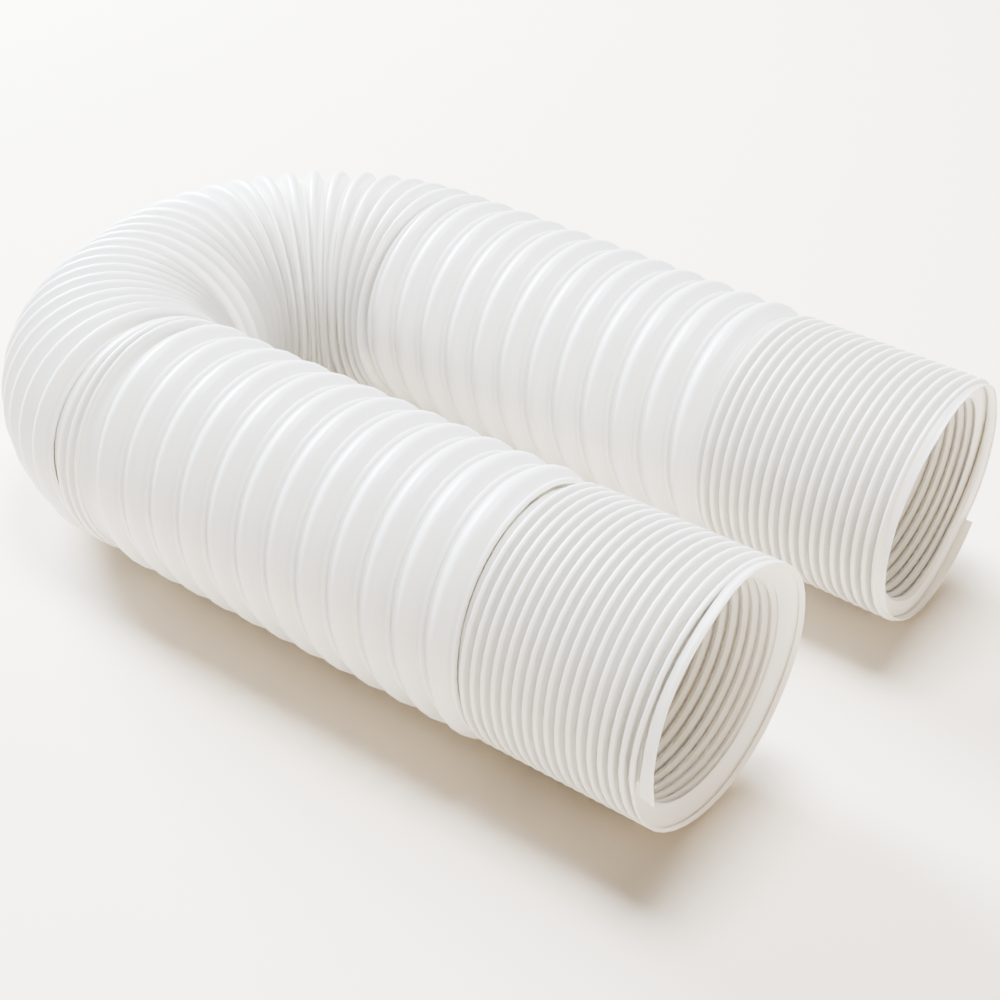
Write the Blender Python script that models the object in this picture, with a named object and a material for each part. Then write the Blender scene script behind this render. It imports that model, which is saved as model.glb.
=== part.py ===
# Air exhaust hose: one polypropylene strip wound right-handed and snapped edge to edge into a tube.
# The snapped edges make a stiff helical seam; between its turns the strip is a soft web that folds.
# It lies in a U on a level floor, with its two open mouths side by side. At both mouths the turns are
# shut, with the web tucked inwards; along the legs and round the bend it is drawn out and bulges outwards.
import math

import bmesh
import bpy
from mathutils import Vector

# Driving dimensions, in metres unless a name says otherwise
OUTER_DIAMETER = 0.150  # over the seam where the turns are shut
BULGE = 0.0025  # how far a drawn-out web stands above the shut seam
STRIP_WIDTH = 0.025  # strip from seam to seam, measured along its surface
STRIP_THICKNESS = 0.0008
SEAM_HEIGHT = 0.002  # how far the snapped edges stand over the drawn-out web beside them
CLOSED_WALL = 0.004  # most that a fold's wall takes up along the radius
SHALLOWEST_FOLD = 0.002  # depth left where a fold is drawn out flat
LIP_THICKNESS = 0.0025  # the strip's edge bead, which forms the rim of each mouth
LIP_FLARE = 0.010  # length over which the last fold opens out to the rim

FRONT_CLOSED_PITCH = 0.0067  # one shut turn at the front mouth
FRONT_CLOSED_TURNS = 17.9
FRONT_DRAWN_PITCH = 0.0228
FRONT_DRAWN_TURNS = 12.4
SHUT_PITCH = 0.0052  # the turns pressed together where the bend starts
SHUT_TURNS = 3.2
ENTRY_PITCH = 0.0120  # first half of the bend
ENTRY_TURNS = 14.2
EXIT_PITCH = 0.0145  # second half of the bend
EXIT_TURNS = 13.7
BACK_DRAWN_PITCH = 0.0225
BACK_CLOSED_PITCH = 0.0068  # one shut turn at the back mouth
BACK_CLOSED_TURNS = 18.3

FRONT_LEG = 0.409  # straight length from the front mouth to the bend
BACK_LEG = 0.4005  # straight length from the bend to the back mouth
ENTRY_RADIUS = 0.101  # centreline radius of the bend's first arc
ENTRY_ANGLE = math.radians(72.5)
CROWN = 0.030  # nearly straight stretch between the two arcs
EXIT_RADIUS = 0.112  # centreline radius of the bend's second arc
EXIT_ANGLE = math.radians(109.66)  # a little past parallel, so the legs close in

START_ANGLE = math.radians(135)  # where the seam meets the front mouth, from the U's inner side over its top
SEGMENTS = 16  # facets round the tube
RIM_SNAP = 0.0006  # a corner this near a mouth is put on its rim
WEB_BLEND = 0.2  # turns either side over which a web goes from tucked in to bulging out
SEAM_BLEND = 0.5  # turns either side over which the seam between them sinks

RADIUS = OUTER_DIAMETER / 2
UP = Vector((0, 0, 1))


def centreline():
    """The U as (length, turning radius or None) runs, from the front mouth to the back one."""
    return [
        (FRONT_LEG, None),
        (ENTRY_RADIUS * ENTRY_ANGLE, ENTRY_RADIUS),
        (CROWN, None),
        (EXIT_RADIUS * EXIT_ANGLE, EXIT_RADIUS),
        (BACK_LEG, None),
    ]


HOSE_LENGTH = sum(length for length, _ in centreline())


def turn_zones():
    """Each kind of turn as (turns, pitch, drawn out or not), from the front mouth to the back one."""
    before = [
        (FRONT_CLOSED_TURNS, FRONT_CLOSED_PITCH, False),
        (FRONT_DRAWN_TURNS, FRONT_DRAWN_PITCH, True),
        (SHUT_TURNS, SHUT_PITCH, False),
        (ENTRY_TURNS, ENTRY_PITCH, True),
        (EXIT_TURNS, EXIT_PITCH, True),
    ]
    after = (BACK_CLOSED_TURNS, BACK_CLOSED_PITCH, False)
    taken = sum(turns * pitch for turns, pitch, _ in before + [after])
    return before + [((HOSE_LENGTH - taken) / BACK_DRAWN_PITCH, BACK_DRAWN_PITCH, True), after]


ZONES = turn_zones()
TURNS = sum(turns for turns, _, _ in ZONES)


def reach(turn):
    """Length along the centreline at which a turn lies. Past the mouths the shut turns go on."""
    if turn < 0:
        return turn * FRONT_CLOSED_PITCH
    length = 0.0
    for turns, pitch, _ in ZONES:
        if turn <= turns:
            return length + turn * pitch
        length += turns * pitch
        turn -= turns
    return length + turn * BACK_CLOSED_PITCH


def drawn_turns(turn):
    """How many of the turns up to this one are drawn out."""
    drawn = 0.0
    for turns, _, is_drawn in ZONES:
        if is_drawn:
            drawn += min(max(turn, 0.0), turns)
        turn -= turns
    return drawn


def drawn_share(turn, either_side):
    """The share of the turns near this one that are drawn out, from 0 to 1."""
    return (drawn_turns(turn + either_side) - drawn_turns(turn - either_side)) / (2 * either_side)


def place(length):
    """Centre, heading and curvature of the tube at a length along the centreline."""
    centre = Vector((0, 0, RADIUS + BULGE))
    heading = math.pi
    left = min(max(length, 0.0), HOSE_LENGTH)
    for run, turning in centreline():
        step = min(left, run)
        if turning is None:
            centre += step * Vector((math.cos(heading), math.sin(heading), 0))
        else:
            pivot = centre + turning * Vector((math.sin(heading), -math.cos(heading), 0))
            heading -= step / turning
            centre = pivot + turning * Vector((-math.sin(heading), math.cos(heading), 0))
        left -= step
        if left <= 0:
            return centre, heading, 1 / turning if turning else 0.0
    return centre, heading, 0.0


def section(turn, angle, web):
    """Radius of the wall's outside on the seam or the web, and the wall's thickness along that radius."""
    length = reach(turn)
    curvature = place(length)[2]
    pitch = reach(turn + 0.5) - reach(turn - 0.5)
    pitch *= 1 - RADIUS * curvature * math.cos(angle)
    drawn = drawn_share(turn, WEB_BLEND if web else SEAM_BLEND)
    depth = max(STRIP_WIDTH**2 - pitch**2, 0) ** 0.5 / 2 - drawn * SEAM_HEIGHT
    depth = max(depth, SHALLOWEST_FOLD)
    wall = min(STRIP_THICKNESS * math.hypot(1, 2 * depth / pitch), CLOSED_WALL)
    rise = drawn * BULGE - (1 - drawn) * depth if web else drawn * (BULGE - depth)
    from_lip = max(min(length / LIP_FLARE, (HOSE_LENGTH - length) / LIP_FLARE, 1.0), 0.0)
    return RADIUS + rise * from_lip, wall * from_lip + LIP_THICKNESS * (1 - from_lip)


def corner_position(turn, step, web, inside):
    """A corner of the wall, on the seam or the web line; step counts facets along the helix."""
    angle = START_ANGLE - 2 * math.pi * step / SEGMENTS
    centre, heading, _ = place(reach(turn))
    sideways = Vector((math.sin(heading), -math.cos(heading), 0))
    outside, wall = section(turn, angle, web)
    radius = outside - inside * wall
    return centre + radius * (math.cos(angle) * sideways + math.sin(angle) * UP)


class Wall:
    """The hose's closed wall, as corners on two helical lines, the seam and the web, outside and inside."""

    def __init__(self):
        self.mesh = bmesh.new()
        self.corners = {}

    def corner(self, step, web, inside):
        """web is 0 on the seam line and 1 on the web line, half a turn of travel further on."""
        turn = step / SEGMENTS + web / 2
        length = reach(turn)
        key = (step, web, inside)
        if length < RIM_SNAP:
            turn, web, key = 0.0, 0, (step % SEGMENTS, "front", inside)
        elif length > HOSE_LENGTH - RIM_SNAP:
            turn, web, key = TURNS, 0, (step % SEGMENTS, "back", inside)
        if key not in self.corners:
            self.corners[key] = self.mesh.verts.new(corner_position(turn, step, web, inside))
        return self.corners[key]

    def triangle(self, corners):
        """Corners that meet on a rim leave no face between them."""
        if len(set(corners)) == 3 and not self.mesh.faces.get(corners):
            self.mesh.faces.new(corners)

    def flank(self, step, web, inside):
        """One facet of a fold's flank, between the seam or web line and the line that comes next."""
        a = self.corner(step, web, inside)
        b = self.corner(step + 1, web, inside)
        c = self.corner_next(step + 1, web, inside)
        d = self.corner_next(step, web, inside)
        if inside:
            self.triangle((a, b, c))
            self.triangle((a, c, d))
        else:
            self.triangle((a, c, b))
            self.triangle((a, d, c))

    def corner_next(self, step, web, inside):
        """The corner half a turn of travel further on; after the web comes the next turn's seam."""
        if web:
            return self.corner(step + SEGMENTS, 0, inside)
        return self.corner(step, 1, inside)

    def rim(self, mouth):
        """The flat ring that closes the wall at a mouth."""
        for step in range(SEGMENTS):
            ring = [
                self.corners[(step, mouth, 0)],
                self.corners[((step + 1) % SEGMENTS, mouth, 0)],
                self.corners[((step + 1) % SEGMENTS, mouth, 1)],
                self.corners[(step, mouth, 1)],
            ]
            self.mesh.faces.new(ring)


def build_wall():
    wall = Wall()
    for inside in (0, 1):
        for step in range(-2 * SEGMENTS, math.ceil(TURNS + 1) * SEGMENTS):
            for web in (0, 1):
                wall.flank(step, web, inside)
    wall.rim("front")
    wall.rim("back")
    bmesh.ops.recalc_face_normals(wall.mesh, faces=wall.mesh.faces)
    return wall.mesh


def stand_at_origin(mesh):
    """Moves the wall so that the middle of its footprint is the origin and its underside is at z = 0."""
    low = Vector(min(v.co[axis] for v in mesh.verts) for axis in range(3))
    high = Vector(max(v.co[axis] for v in mesh.verts) for axis in range(3))
    middle = (low + high) / 2
    bmesh.ops.translate(mesh, verts=mesh.verts, vec=(-middle.x, -middle.y, -low.z))


def white_polypropylene():
    material = bpy.data.materials.new("white_polypropylene")
    material.use_nodes = True
    shader = material.node_tree.nodes["Principled BSDF"]
    shader.inputs["Base Color"].default_value = (0.86, 0.86, 0.85, 1)
    shader.inputs["Roughness"].default_value = 0.38
    shader.inputs["Metallic"].default_value = 0.0
    return material


def main():
    for old in list(bpy.data.objects):
        bpy.data.objects.remove(old, do_unlink=True)
    wall = build_wall()
    stand_at_origin(wall)
    data = bpy.data.meshes.new("hose")
    wall.to_mesh(data)
    wall.free()
    data.shade_smooth()
    data.set_sharp_from_angle(angle=math.radians(40))
    data.materials.append(white_polypropylene())
    bpy.context.collection.objects.link(bpy.data.objects.new("hose", data))


main()
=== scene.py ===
import math

import bpy
import numpy as np
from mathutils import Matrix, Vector


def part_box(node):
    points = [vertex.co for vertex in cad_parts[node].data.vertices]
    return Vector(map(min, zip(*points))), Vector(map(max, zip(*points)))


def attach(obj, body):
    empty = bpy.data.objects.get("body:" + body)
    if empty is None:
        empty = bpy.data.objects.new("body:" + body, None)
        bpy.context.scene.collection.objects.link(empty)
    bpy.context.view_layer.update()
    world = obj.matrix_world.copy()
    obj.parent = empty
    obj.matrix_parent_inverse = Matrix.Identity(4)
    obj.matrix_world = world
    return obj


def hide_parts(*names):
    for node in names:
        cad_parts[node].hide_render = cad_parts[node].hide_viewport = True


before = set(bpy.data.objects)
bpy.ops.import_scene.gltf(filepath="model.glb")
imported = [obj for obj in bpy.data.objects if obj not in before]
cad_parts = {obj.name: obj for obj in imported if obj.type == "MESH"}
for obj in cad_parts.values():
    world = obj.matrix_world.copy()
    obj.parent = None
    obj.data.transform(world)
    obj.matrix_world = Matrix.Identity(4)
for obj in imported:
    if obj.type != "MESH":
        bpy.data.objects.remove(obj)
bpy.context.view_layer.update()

exhaustHose = {
    # where it runs and how far each kind of turn is drawn out, in metres, as the solid has it
    "course": {
        "radius": 0.075,                # over the seam of the shut turns
        "axisHeight": 0.0775,
        "startAngle": 135,              # degrees, where the seam meets the front mouth
        "runs": [                       # length and turning radius, from the front mouth on
            (0.409, None),
            (0.101 * math.radians(72.5), 0.101),
            (0.030, None),
            (0.112 * math.radians(109.66), 0.112),
            (0.4005, None),
        ],
        "zones": [                      # turns, pitch, drawn out or not
            (17.9, 0.0067, 0),
            (12.4, 0.0228, 1),
            (3.2, 0.0052, 0),
            (14.2, 0.0120, 1),
            (13.7, 0.0145, 1),
            (None, 0.0225, 1),          # as many as the rest of the length takes
            (18.3, 0.0068, 0),
        ],
    },
    # the strip that is wound up: lengths in metres, pairs for shut and drawn-out turns
    "strip": {
        "facetsATurn": 42,
        "firstTurn": -0.158,            # the cut end at the front mouth
        "turns": 91.927,                # up to the cut end at the back mouth
        "thickness": 0.0008,
        "wallOfSpan": 0.24,             # most that the wall takes up of the web's span
        "ribWidth": 0.0024,
        "ribOfPitch": 0.5,              # most that the rib takes up of the pitch
        "ribHeight": (0.0020, 0.0021),  # over the web beside it
        "ribEdge": 0.0004,
        "seamBlend": 0.7,               # turns either side over which a seam rises or sinks
        "tuck": 0.0003,                 # how far rib and web overlap at the seam
        "tipLift": 0.0001,              # of the web's far edge, into the next rib
        "flange": 0.0009,               # flat part beside a drawn-out rib
        "webWidth": 0.0226,
        "webBlend": 0.4,                # turns either side over which a web turns outwards
        "leastSpan": 0.0008,            # between one rib and the next
        "leastWidth": 1.03,             # of the web, in spans
        "roundShare": (0.30, 0.45),     # share of the web's width that is rounded
        "roundOfSpan": 1.5,             # most of the web that is rounded, in spans
        # corners of the web, as shares of its width, and of the rib, for the die's lines
        "outsideAt": (0.03, 0.16, 0.28, 0.39, 0.5, 0.61, 0.72, 0.84, 0.97),
        "insideAt": (0.96, 0.68, 0.59, 0.5, 0.41, 0.32, 0.04),
        "ribAcross": (0, 0.0004, 0.0008, 0.0014, 0.0018, 0.0022),
        "blank": (0.01, 0.01),          # radius and pitch before the turns are laid
        "sharpAngle": 50,               # degrees
    },
    # how far it departs from the even winding, in millimetres, by metres along the course
    "lay": {
        # the crest of a drawn-out web over the shut seam
        "crestAt": (0, 0.38, 0.45, 0.56, 0.62, 0.76, 0.82, 1.2),
        "crest": (1.3, 1.2, 0.8, 0.8, 0.0, 0.0, 1.2, 1.3),
        "crestOnFloor": 2.5,
        # the lean of the turns, and the side where it is most, in degrees
        "leanAt": (0, 0.12, 0.17, 0.35, 0.44, 0.58, 0.64, 0.74, 0.80, 0.98, 1.06, 1.13, 1.165, 1.2),
        "lean": (0, 0, 1.5, 1.5, 0, 0, 4.0, 4.0, -1.5, -1.5, -0.5, 2.5, 3.4, 4.6),
        "leanSide": (90, 90, 90, 90, 120, 120, 120, 120, 80, 80, 50, 50, 50, 50),
        # the front mouth's own lean by side, in degrees, and its share left by turn
        "frontSides": (0, 90, 120, 150, 180, 205, 270, 360),
        "frontLean": (-0.5, -2.2, -1.8, -0.8, 2.0, 2.5, 1.0, -0.5),
        "frontFadeAt": (0.8, 1.9, 2.9, 3.9, 4.9, 6.5),
        "frontFade": (1.0, 0.65, 0.5, 0.35, 0.2, 0.0),
        # the back mouth's far side is pushed in
        "backPushAt": (1.135, 1.148, 1.155, 1.162, 1.169, 1.176, 1.1825),
        "backPush": (0, 1.0, 2.0, 3.2, 4.6, 6.5, 8.0),
        "backPushSide": 195,            # degrees
        # the creases of the first folds lean in behind the front rim, by turn
        "creaseAt": (0.5, 1.5, 2.5, 3.5, 4.5),
        "creaseLean": (3.6, 2.8, 1.8, 0.9, 0.0),
    },
    # the strip's free edge in each mouth, in millimetres from the mouth's plane, by turn;
    # band and web are its widths there
    "edges": {
        "frontAt": (0, 0.064, 0.125, 0.19, 0.225, 0.27, 0.31, 0.41,
                    0.45, 0.49, 0.55, 0.63, 0.73, 0.8, 1.0),
        "frontEdge": (-5.7, -4.9, -4.5, -4.8, -4.3, -2.4, -1.2, -0.6,
                      0.3, 1.8, 3.5, 5.5, 6.3, 6.8, 6.7),
        "frontBandAt": (0, 0.04, 0.15, 0.35, 0.5, 0.7, 1.0),
        "frontBand": (9.6, 7.5, 6.4, 6.0, 5.0, 4.0, 2.4),
        "backAt": (0, 0.106, 0.19, 0.27, 0.356, 0.44, 0.52, 0.606, 0.69, 0.77, 0.856, 0.94, 1.0),
        "backEdge": (-10.0, -8.0, -5.0, 1.0, 5.5, 9.0, 8.8, 7.4, 5.5, 3.0, -1.0, -4.0, -5.5),
        "backBand": 1.6,
        "backWebAt": (0, 0.08, 0.2, 0.3, 1.0),      # cut along, so only a flat part is left
        "backWeb": (21.0, 16.0, 9.0, 2.0, 2.0),
    },
    # the bead along the front rim and the groove behind it, in metres
    "bead": {
        "width": (0.0008, 0.0028),      # least and most
        "lessThanBand": 0.0015,         # the groove's width
        # corner of the strip's outline, place past the bead, depth under the rim
        "corners": ((3, 0, 0), (4, 0.0003, 0.0008), (-2, 0.0009, 0.0019),
                    (-1, 0.0003, 0.0012), (0, -0.0004, 0.0022)),
        "bandCorner": (5, 0.0012),      # and its depth
    },
}

course, strip, lay, edges, bead = exhaustHose.values()
hoseLength = sum(run for run, turning in course["runs"])
perMetre = 1000         # millimetres
flattest = 1e-4         # slope of a web's flanks
halvings = 24           # to find that slope
shareStep = 0.02        # of the web's width, to find which way its wall faces
tiny = 1e-9             # keeps a division from nought


def zoneEnds():         # turns, lengths and drawn-out turns up to the end of each zone
    zones = course["zones"]
    taken = sum(turns * pitch for turns, pitch, drawn in zones if turns)
    turns = [own or (hoseLength - taken) / pitch for own, pitch, drawn in zones]
    lengths = [own * zone[1] for own, zone in zip(turns, zones)]
    drawnOut = [own * zone[2] for own, zone in zip(turns, zones)]
    return [np.concatenate([[0], np.cumsum(part)]) for part in (turns, lengths, drawnOut)]


turnEnds, lengthEnds, drawnEnds = zoneEnds()


def angleAt(turn):      # side that the seam is on, in degrees: 0 inside the U, 90 on top
    return course["startAngle"] - 360 * turn


def metresAt(where, places, millimetres):
    return np.interp(where, places, millimetres) / perMetre


def evenLength(turn):   # the shut turns go on past both mouths
    first, last = course["zones"][0][1], course["zones"][-1][1]
    length = np.interp(turn, turnEnds, lengthEnds)
    return length + np.minimum(turn, 0) * first + np.maximum(turn - turnEnds[-1], 0) * last


def lengthAt(turn):     # with the lean that the turns have where the hose lies
    even, angle = evenLength(turn), angleAt(turn)
    lean = np.interp(even, lay["leanAt"], lay["lean"])
    side = np.interp(even, lay["leanAt"], lay["leanSide"])
    front = np.interp(angle % 360, lay["frontSides"], lay["frontLean"])
    front = front * np.interp(turn, lay["frontFadeAt"], lay["frontFade"])
    push = np.interp(even, lay["backPushAt"], lay["backPush"])
    push = push * np.maximum(np.cos(np.radians(angle - lay["backPushSide"])), 0)
    return even + (lean * np.cos(np.radians(angle - side)) + front - push) / perMetre


def drawnShare(turn, side):     # of the turns up to so many either side of this one
    before = np.interp(turn - side, turnEnds, drawnEnds)
    after = np.interp(turn + side, turnEnds, drawnEnds)
    return (after - before) / (2 * side)


def placeAt(length, start):     # centre, heading and curvature; straight on past both mouths
    centre = np.zeros(length.shape + (2,))
    heading = np.zeros(length.shape)
    curvature = np.zeros(length.shape)
    at, way, before = np.array(start), math.pi, 0.0
    for number, (run, turning) in enumerate(course["runs"]):
        here = (length >= before) if number else np.ones(length.shape, bool)
        past = (length - before)[here]
        if turning is None:
            ahead = np.array([math.cos(way), math.sin(way)])
            centre[here] = at + past[:, None] * ahead
            heading[here] = way
            curvature[here] = 0
            at = at + run * ahead
        else:
            pivot = at + turning * np.array([math.sin(way), -math.cos(way)])
            ways = way - past / turning
            centre[here] = pivot + turning * np.stack([-np.sin(ways), np.cos(ways)], -1)
            heading[here] = ways
            curvature[here] = 1 / turning
            way -= run / turning
            at = pivot + turning * np.array([-math.sin(way), math.cos(way)])
        before += run
    return centre, heading, curvature


def foldSlope(span, width, roundShare):     # the slope of a web's flanks, by halving
    low, high = np.full(span.shape, flattest), np.full(span.shape, math.pi / 2)
    for halving in range(halvings):
        slope = (low + high) / 2
        reach = (1 - roundShare) * np.cos(slope) + roundShare * np.sin(slope) / slope
        tooWide = reach > span / width
        low, high = np.where(tooWide, slope, low), np.where(tooWide, high, slope)
    return slope


# place across a web and height there, at a share of its width
def foldPoint(span, width, roundShare, slope, share):
    half = 2 * min(share, 1 - share)
    straight = np.minimum(half, 1 - roundShare)
    bend = roundShare * width / 2 / slope
    left = slope * np.clip((1 - half) / roundShare, 0, 1)   # that the rounding has yet to turn
    across = width / 2 * straight * np.cos(slope) + bend * (np.sin(slope) - np.sin(left))
    height = width / 2 * straight * np.sin(slope) + bend * (np.cos(left) - np.cos(slope))
    return (span - across if share > 0.5 else across), height


# the strip's closed outline at each turn: lengths along the course, radii, and its side in radians
def stripSections(turn):
    radius = course["radius"]
    angle = np.radians(angleAt(turn))
    start, end = lengthAt(turn), lengthAt(turn + 1)
    curvature = placeAt((start + end) / 2, (0, 0))[2]
    stretch = 1 - radius * curvature * np.cos(angle)
    pitch = (end - start) * stretch
    drawn = drawnShare(turn + 0.5, strip["webBlend"])
    seamDrawn = drawnShare(turn, strip["seamBlend"])
    nextDrawn = drawnShare(turn + 1, strip["seamBlend"])
    rib = np.minimum(strip["ribWidth"], strip["ribOfPitch"] * pitch)
    flange = strip["flange"] * drawn

    # in the front mouth the strip's free edge is a broad band in place of the rib
    fromFront = turn - strip["firstTurn"]
    atFront = fromFront < 1
    frontEdge = metresAt(fromFront, edges["frontAt"], edges["frontEdge"]) - start
    frontBand = metresAt(fromFront, edges["frontBandAt"], edges["frontBand"])
    ribLeft = np.where(atFront, frontEdge, -rib / 2)
    ribRight = np.where(atFront, frontEdge + frontBand, rib / 2)

    # in the back mouth the web ends in a free edge, elsewhere it is tucked under the next rib
    fromBack = turn + 1 - (strip["firstTurn"] + strip["turns"])
    atBack = fromBack > 0
    backEdge = hoseLength + metresAt(fromBack, edges["backAt"], edges["backEdge"]) - start
    backWeb = metresAt(fromBack, edges["backWebAt"], edges["backWeb"])
    tip = np.where(atBack, backEdge, pitch - rib / 2 + strip["tuck"])
    webStart = ribRight + flange
    webEnd = np.where(atBack, backEdge - edges["backBand"] / perMetre, pitch - rib / 2 - flange)
    span = np.maximum(webEnd - webStart, strip["leastSpan"])
    width = strip["webWidth"] - np.where(atFront, frontBand - rib, 0)
    width = np.maximum(np.where(atBack, backWeb, width), span * strip["leastWidth"])

    wall = np.minimum(strip["thickness"], strip["wallOfSpan"] * span)
    shutRound, openRound = strip["roundShare"]
    roundShare = shutRound + drawn * (openRound - shutRound)
    roundShare = np.minimum(roundShare, strip["roundOfSpan"] * span / width)
    slope = foldSlope(span, width, roundShare)
    fullHeight = foldPoint(span, width, roundShare, slope, 0.5)[1]

    # shut, the web hangs inwards from the rib; drawn out, its crest stands over the shut seam
    crest = metresAt(evenLength(turn), lay["crestAt"], lay["crest"])
    under = np.maximum(-np.sin(angle), 0) ** 2
    crest = crest + (lay["crestOnFloor"] / perMetre - crest) * under
    shutHeight, openHeight = strip["ribHeight"]
    openBase = radius + crest - fullHeight
    shutBase = radius - shutHeight
    base = shutBase + seamDrawn * (np.minimum(openBase, shutBase) - shutBase)
    nextBase = shutBase + nextDrawn * (np.minimum(openBase, shutBase) - shutBase)
    top = base + shutHeight + seamDrawn * (openHeight - shutHeight)
    creaseLean = metresAt(fromFront, lay["creaseAt"], lay["creaseLean"])

    def webPoint(share):
        across, height = foldPoint(span, width, roundShare, slope, share)
        level = (1 - share) * base + share * nextBase
        return (webStart + across + creaseLean * height / fullHeight,
                level + (2 * drawn - 1) * height)

    edge = strip["ribEdge"]
    outline = [
        (ribLeft, base - strip["tuck"]),
        (ribLeft, top - edge),
        (ribLeft + edge, top),
        (ribRight - edge, top),
        (ribRight, top - edge),
        (ribRight, base),
    ]
    outline += [webPoint(share) for share in strip["outsideAt"]]
    outline += [(tip, nextBase + strip["tipLift"]), (tip, nextBase - wall)]
    for share in strip["insideAt"]:     # the inner face lies a wall's thickness away
        x, r = webPoint(share)
        x1, r1 = webPoint(share - shareStep)
        x2, r2 = webPoint(share + shareStep)
        size = np.maximum(np.hypot(x2 - x1, r2 - r1), tiny)
        outline.append((x + wall * (r2 - r1) / size, r - wall * (x2 - x1) / size))
    outline.append((ribRight - rib / 2, base - wall))
    across, radii = (np.stack(part, -1) for part in zip(*outline))

    # along the front rim the band's edge is a bead with a groove behind it, inside too
    beadWidth = np.clip(frontBand - bead["lessThanBand"], *bead["width"])
    for corner, past, depth in bead["corners"]:
        across[atFront, corner] = (ribLeft + beadWidth + past)[atFront]
        radii[atFront, corner] = (top - depth)[atFront]
    corner, depth = bead["bandCorner"]
    radii[atFront, corner] = (top - depth)[atFront]
    return start[:, None] + across / stretch[:, None], radii, angle


def windHose():
    low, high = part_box("hose")
    start = (high.x, low.y + course["axisHeight"])

    # how far across the strip each corner is, for the lines that the extruder's die leaves along it
    shares = strip["outsideAt"] + (1, 1) + strip["insideAt"]
    web = tuple(strip["ribWidth"] + strip["webWidth"] * share for share in shares)
    acrossStrip = strip["ribAcross"] + web + (strip["ribWidth"] / 2,)

    # a blank ring is wound up with a round of corners for each facet
    blankRadius, blankPitch = strip["blank"]
    bpy.ops.object.select_all(action="DESELECT")
    bpy.ops.mesh.primitive_circle_add(vertices=len(acrossStrip), radius=blankRadius,
                                      fill_type="NOTHING", location=(0, 0, course["radius"]),
                                      rotation=(math.pi / 2, 0, 0))
    hose = bpy.context.object
    hose.name = hose.data.name = "exhaust_hose"
    bpy.ops.object.transform_apply(location=True, rotation=True, scale=True)
    wind = hose.modifiers.new("wind", "SCREW")
    wind.axis = "X"
    wind.steps = wind.render_steps = strip["facetsATurn"]
    wind.iterations = math.ceil(strip["turns"])
    wind.screw_offset = blankPitch
    bpy.ops.object.modifier_apply(modifier=wind.name)
    rounds = strip["facetsATurn"] * math.ceil(strip["turns"]) + 1
    print("wound strip", len(hose.data.vertices), "points, expected", len(acrossStrip) * rounds)

    # each round is laid where its turn lies along the course, and flat where it meets the floor
    turn = np.linspace(strip["firstTurn"], strip["firstTurn"] + strip["turns"], rounds)
    length, radii, angle = stripSections(turn)
    centre, heading = placeAt(length, start)[:2]
    sideways = radii * np.cos(angle)[:, None]
    points = np.stack([
        centre[..., 0] + sideways * np.sin(heading),
        centre[..., 1] - sideways * np.cos(heading),
        np.maximum(course["axisHeight"] + radii * np.sin(angle)[:, None], 0),
    ], -1)
    hose.data.vertices.foreach_set("co", points.astype(np.float32).reshape(-1))
    hose.data.update()
    attribute = hose.data.attributes.new("acrossStrip", "FLOAT", "POINT")
    attribute.data.foreach_set("value", np.tile(np.array(acrossStrip, np.float32), rounds))

    # the two cut ends are closed
    bpy.ops.object.mode_set(mode="EDIT")
    bpy.ops.mesh.select_mode(type="EDGE")
    bpy.ops.mesh.select_all(action="DESELECT")
    bpy.ops.mesh.select_non_manifold()
    bpy.ops.mesh.fill()
    bpy.ops.mesh.select_all(action="SELECT")
    bpy.ops.mesh.normals_make_consistent(inside=False)
    bpy.ops.object.mode_set(mode="OBJECT")
    bpy.ops.object.shade_smooth_by_angle(angle=math.radians(strip["sharpAngle"]))
    return hose


def linear(hexColour):
    parts = [int(hexColour[k:k + 2], 16) / 255 for k in (1, 3, 5)]
    return tuple(c / 12.92 if c <= 0.04045 else ((c + 0.055) / 1.055) ** 2.4 for c in parts) + (1,)


# adds a node with its settings, socket values and links from other nodes
def addNode(material, kind, settings=None, inputs=None, links=None):
    node = material.node_tree.nodes.new(kind)
    for name, value in (settings or {}).items():
        setattr(node, name, value)
    for name, value in (inputs or {}).items():
        node.inputs[name].default_value = value
    for name, (source, socket) in (links or {}).items():
        material.node_tree.links.new(source.outputs[socket], node.inputs[name])
    return node


# extruded white polypropylene: thin walls let light through, so the folds glow and the inside
# is bright, and the die's fine lines run along the strip
polypropylene = {
    "shader": {
        "IOR": 1.49,
        "Subsurface Weight": 0.25,
        "Subsurface Radius": (0.0018, 0.0015, 0.0011),
        "Subsurface Scale": 1.0,
    },
    "tones": ("#F1EEE5", "#FAF8F1"),
    "roughness": (0.30, 0.44),
    "mottle": {"Scale": 70, "Detail": 2},       # patches of about 15 mm, duller or glossier
    "dieLines": {"Scale": 700, "Detail": 3},    # about 1.5 mm apart, along the strip
    "grain": {"Scale": 900, "Detail": 3},       # about 1 mm, the extruded skin
    "ridges": {"Strength": 0.22, "Distance": 0.0004},
    "skin": {"Strength": 0.08, "Distance": 0.0004},
}


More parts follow.
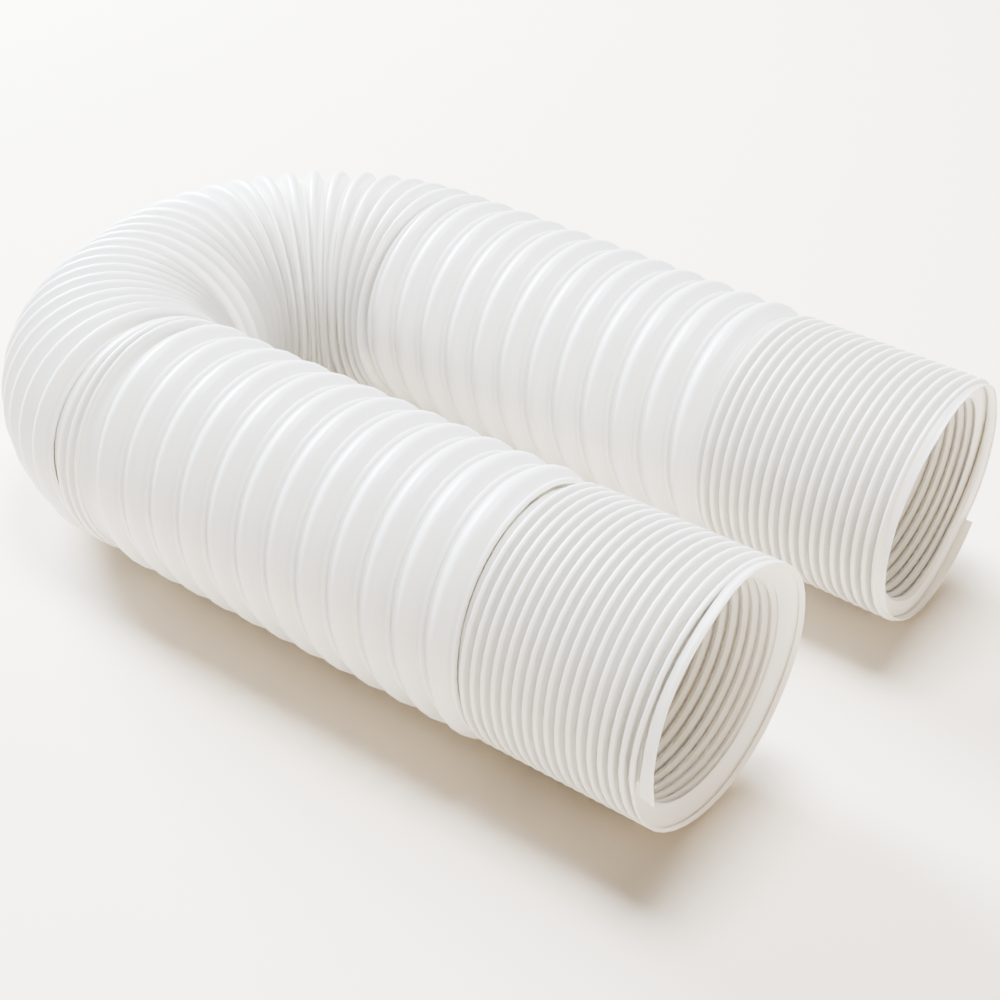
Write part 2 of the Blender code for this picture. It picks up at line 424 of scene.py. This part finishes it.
def whitePolypropylene():
    look = polypropylene
    material = bpy.data.materials.new("extruded_white_polypropylene")
    material.use_nodes = True
    shader = material.node_tree.nodes["Principled BSDF"]
    for name, value in look["shader"].items():
        shader.inputs[name].default_value = value
    place = addNode(material, "ShaderNodeTexCoord")
    mottle = addNode(material, "ShaderNodeTexNoise", {}, look["mottle"],
                     {"Vector": (place, "Object")})
    dull, duller = look["roughness"]
    sheen = addNode(material, "ShaderNodeMapRange", {}, {"To Min": dull, "To Max": duller},
                    {"Value": (mottle, "Fac")})
    across = addNode(material, "ShaderNodeAttribute", {"attribute_name": "acrossStrip"})
    dieLines = addNode(material, "ShaderNodeTexNoise", {"noise_dimensions": "1D"},
                       look["dieLines"], {"W": (across, "Fac")})
    deep, pale = (linear(colour) for colour in look["tones"])
    tone = addNode(material, "ShaderNodeMix", {"data_type": "RGBA"}, {"A": deep, "B": pale},
                   {"Factor": (dieLines, "Fac")})
    ridges = addNode(material, "ShaderNodeBump", {}, look["ridges"], {"Height": (dieLines, "Fac")})
    grain = addNode(material, "ShaderNodeTexNoise", {}, look["grain"],
                    {"Vector": (place, "Object")})
    skin = addNode(material, "ShaderNodeBump", {}, look["skin"],
                   {"Height": (grain, "Fac"), "Normal": (ridges, "Normal")})
    links = material.node_tree.links
    links.new(tone.outputs["Result"], shader.inputs["Base Color"])
    links.new(sheen.outputs["Result"], shader.inputs["Roughness"])
    links.new(skin.outputs["Normal"], shader.inputs["Normal"])
    return material


paleFloor = {"size": 14, "below": 0.0005, "colour": "#F3E6D0", "roughness": 0.9}    # in metres


def layFloor():
    bpy.ops.object.select_all(action="DESELECT")
    bpy.ops.mesh.primitive_plane_add(size=paleFloor["size"], location=(0, 0, -paleFloor["below"]))
    floor = bpy.context.object
    floor.name = "floor"
    material = bpy.data.materials.new("pale_floor")
    material.use_nodes = True
    shader = material.node_tree.nodes["Principled BSDF"]
    shader.inputs["Base Color"].default_value = linear(paleFloor["colour"])
    shader.inputs["Roughness"].default_value = paleFloor["roughness"]
    floor.data.materials.append(material)


# a cool window far to the left, a softer one overhead and a warm glow into the mouths
studio = {
    "sky": ("#E6EDFA", 0.27),
    "lamps": [      # name, place, target, size in metres, power in watts, colour
        ("farWindow", (-2.7, 0.7, 1.35), (-0.1, 0.0, 0.05), 1.3, 1050, "#E2EBFF"),
        ("overhead", (-0.1, 0.3, 2.6), (-0.05, 0.0, 0.05), 1.0, 300, "#F3F6FF"),
        ("mouthGlow", (1.6, -0.45, 0.4), (0.25, 0.0, 0.06), 0.9, 17, "#FFE3BC"),
    ],
}


def lightStudio():
    world = bpy.data.worlds.new("studio_sky")
    world.use_nodes = True
    sky = world.node_tree.nodes["Background"]
    colour, strength = studio["sky"]
    sky.inputs["Color"].default_value = linear(colour)
    sky.inputs["Strength"].default_value = strength
    bpy.context.scene.world = world
    for name, place, target, size, power, colour in studio["lamps"]:
        lamp = bpy.data.lights.new(name, "AREA")
        lamp.shape, lamp.size, lamp.energy, lamp.color = "DISK", size, power, linear(colour)[:3]
        holder = bpy.data.objects.new(name, lamp)
        holder.location = place
        aim = Vector(target) - Vector(place)
        holder.rotation_euler = aim.to_track_quat("-Z", "Y").to_euler()
        bpy.context.scene.collection.objects.link(holder)


# the photograph's view, from a camera fit to the outline and both mouths
photoView = {
    "place": (0.67669, -0.77858, 0.68763),
    "towards": 128.702,     # degrees
    "down": 33.193,
    "lens": 69.083,         # millimetres
    "sensor": 36,
    "clip": (0.01, 50),
}


def placeCamera():
    towards, down = math.radians(photoView["towards"]), math.radians(photoView["down"])
    look = Vector((math.cos(down) * math.cos(towards), math.cos(down) * math.sin(towards),
                   -math.sin(down)))
    data = bpy.data.cameras.new("photoCamera")
    data.lens, data.sensor_width = photoView["lens"], photoView["sensor"]
    data.clip_start, data.clip_end = photoView["clip"]
    camera = bpy.data.objects.new("photoCamera", data)
    camera.location = photoView["place"]
    camera.rotation_euler = look.to_track_quat("-Z", "Y").to_euler()
    bpy.context.scene.collection.objects.link(camera)
    bpy.context.scene.camera = camera


placeCamera()
lightStudio()
layFloor()
print("camera, light and floor placed")

hose = windHose()
hose.data.materials.append(whitePolypropylene())
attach(hose, "root")
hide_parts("hose")
triangles = sum(len(face.vertices) - 2 for face in hose.data.polygons)
print("hose laid,", triangles, "triangles")
